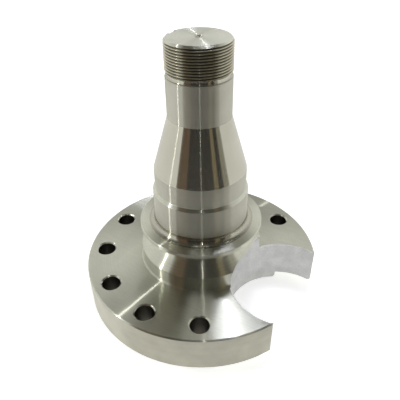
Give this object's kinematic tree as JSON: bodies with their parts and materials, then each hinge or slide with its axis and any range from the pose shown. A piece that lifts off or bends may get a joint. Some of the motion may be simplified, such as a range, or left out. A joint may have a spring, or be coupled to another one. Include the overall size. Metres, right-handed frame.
{
  "type": "axle spindle",
  "caption": "Bolt-on axle spindle: a stepped, tapered bearing shaft with a threaded end, on a round bolting flange with a deep clearance notch.",
  "frame": {"origin": "on the spindle's axis, in the plane of the flange's mounting face, where the pilot starts", "axes": "+Z along the spindle's axis, towards the threaded end; +X towards the middle of the clearance notch; the keyway is on the -X side"},
  "size_m": [0.1963, 0.208, 0.2349],
  "materials": {
    "machined_steel": "turned, ground and milled forged steel, bare"
  },
  "bodies": {
    "root": {"axle_spindle": "machined_steel"}
  },
  "joints": []
}
